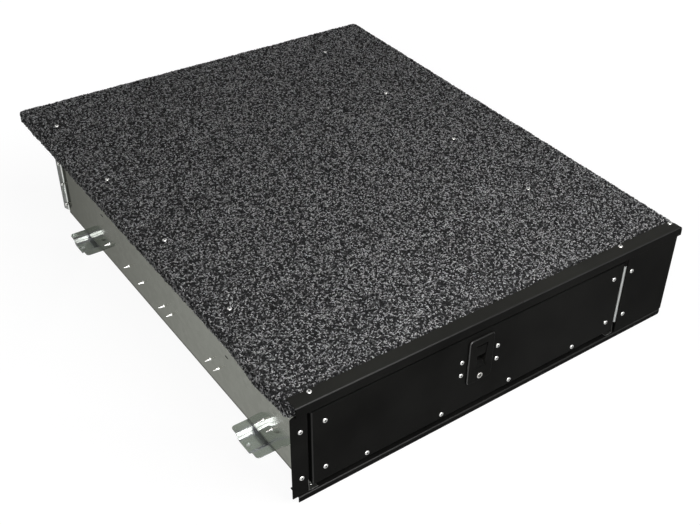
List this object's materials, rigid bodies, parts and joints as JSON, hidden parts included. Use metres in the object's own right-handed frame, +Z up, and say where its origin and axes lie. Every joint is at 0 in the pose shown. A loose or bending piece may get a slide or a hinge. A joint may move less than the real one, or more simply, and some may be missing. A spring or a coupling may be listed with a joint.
{
  "type": "vehicle drawer module",
  "caption": "Low galvanised cabinet with a carpeted deck, black front and one full-width drawer on telescopic slides with a paddle latch and key lock.",
  "frame": {"origin": "on the floor, at the middle of the module's bounding box", "axes": "+X to the right as seen from the front, +Y back along the drawer's travel, +Z up"},
  "size_m": [1.009, 1.267, 0.2478],
  "materials": {
    "galvanised": "galvanised sheet with soft spangle",
    "black_coat": "satin black powder coat",
    "carpet": "charcoal fleck needle-punch carpet",
    "plywood": "bare plywood",
    "box_steel": "galvanised sheet",
    "runner_steel": "bright zinc plate",
    "bright_zinc": "bright zinc plate",
    "lock_metal": "satin nickel"
  },
  "bodies": {
    "cabinet": {"side_panel_left": "galvanised", "side_panel_right": "galvanised", "rear_panel": "galvanised", "cross_member_front": "galvanised", "cross_member_rear": "galvanised", "bottom_rail": "black_coat", "face_post": "black_coat", "face_panel": "black_coat", "top_trim": "black_coat", "deck_board": "plywood", "deck_carpet": "carpet", "slide_outer_left": "runner_steel", "slide_outer_right": "runner_steel", "striker_plate": "runner_steel", "face_screw_1": "bright_zinc", "face_screw_2": "bright_zinc", "face_screw_3": "bright_zinc", "face_screw_4": "bright_zinc", "trim_screw_1": "bright_zinc", "trim_screw_2": "bright_zinc", "trim_screw_3": "bright_zinc", "deck_screw_1": "bright_zinc", "deck_screw_2": "bright_zinc", "deck_screw_3": "bright_zinc", "deck_screw_4": "bright_zinc", "deck_screw_5": "bright_zinc", "deck_screw_6": "bright_zinc", "deck_screw_7": "bright_zinc", "deck_screw_8": "bright_zinc", "striker_screw_1": "bright_zinc", "striker_screw_2": "bright_zinc"},
    "runner_left": {"slide_middle_left": "runner_steel"},
    "runner_right": {"slide_middle_right": "runner_steel"},
    "drawer": {"drawer_front": "black_coat", "drawer_side_left": "box_steel", "drawer_side_right": "box_steel", "drawer_floor": "box_steel", "drawer_back": "box_steel", "drawer_liner": "carpet", "slide_inner_left": "runner_steel", "slide_inner_right": "runner_steel", "latch_housing": "black_coat", "latch_bracket": "runner_steel", "paddle_pin": "runner_steel", "drawer_screw_1": "bright_zinc", "drawer_screw_2": "bright_zinc", "drawer_screw_3": "bright_zinc", "drawer_screw_4": "bright_zinc", "drawer_screw_5": "bright_zinc", "drawer_screw_6": "bright_zinc", "drawer_screw_7": "bright_zinc", "drawer_screw_8": "bright_zinc", "latch_screw_1": "bright_zinc", "latch_screw_2": "bright_zinc", "latch_screw_3": "bright_zinc", "latch_screw_4": "bright_zinc"},
    "paddle": {"latch_paddle": "black_coat"},
    "bolt": {"latch_bolt": "runner_steel"},
    "lock": {"lock_cylinder": "lock_metal", "lock_cam": "runner_steel"}
  },
  "joints": [
    {"name": "drawer_slide", "type": "slide", "parent": "cabinet", "child": "drawer", "axis": [0, -1, 0], "range_m": [0, 1]},
    {"name": "runner_slide_left", "type": "slide", "parent": "cabinet", "child": "runner_left", "axis": [0, -1, 0], "range_m": [0, 0.51]},
    {"name": "runner_slide_right", "type": "slide", "parent": "cabinet", "child": "runner_right", "axis": [0, -1, 0], "range_m": [0, 0.51]},
    {"name": "paddle_pull", "type": "hinge", "parent": "drawer", "child": "paddle", "pos_m": [-0.0677, -0.6225, 0.179], "axis": [-1, 0, 0], "range_deg": [0, 28]},
    {"name": "bolt_draw", "type": "slide", "parent": "drawer", "child": "bolt", "axis": [0, 0, -1], "range_m": [0, 0.0095], "stiffness_N_per_m": 400, "springref_m": -0.006},
    {"name": "lock_turn", "type": "hinge", "parent": "drawer", "child": "lock", "pos_m": [-0.0677, -0.6335, 0.1045], "axis": [0, -1, 0], "range_deg": [0, 90]}
  ],
  "couplings": [
    {"joint": "runner_slide_left", "follows": "drawer_slide", "ratio": 0.5},
    {"joint": "runner_slide_right", "follows": "drawer_slide", "ratio": 0.5},
    {"joint": "paddle_pull", "follows": "bolt_draw", "rad_per_m": 51.44}
  ]
}
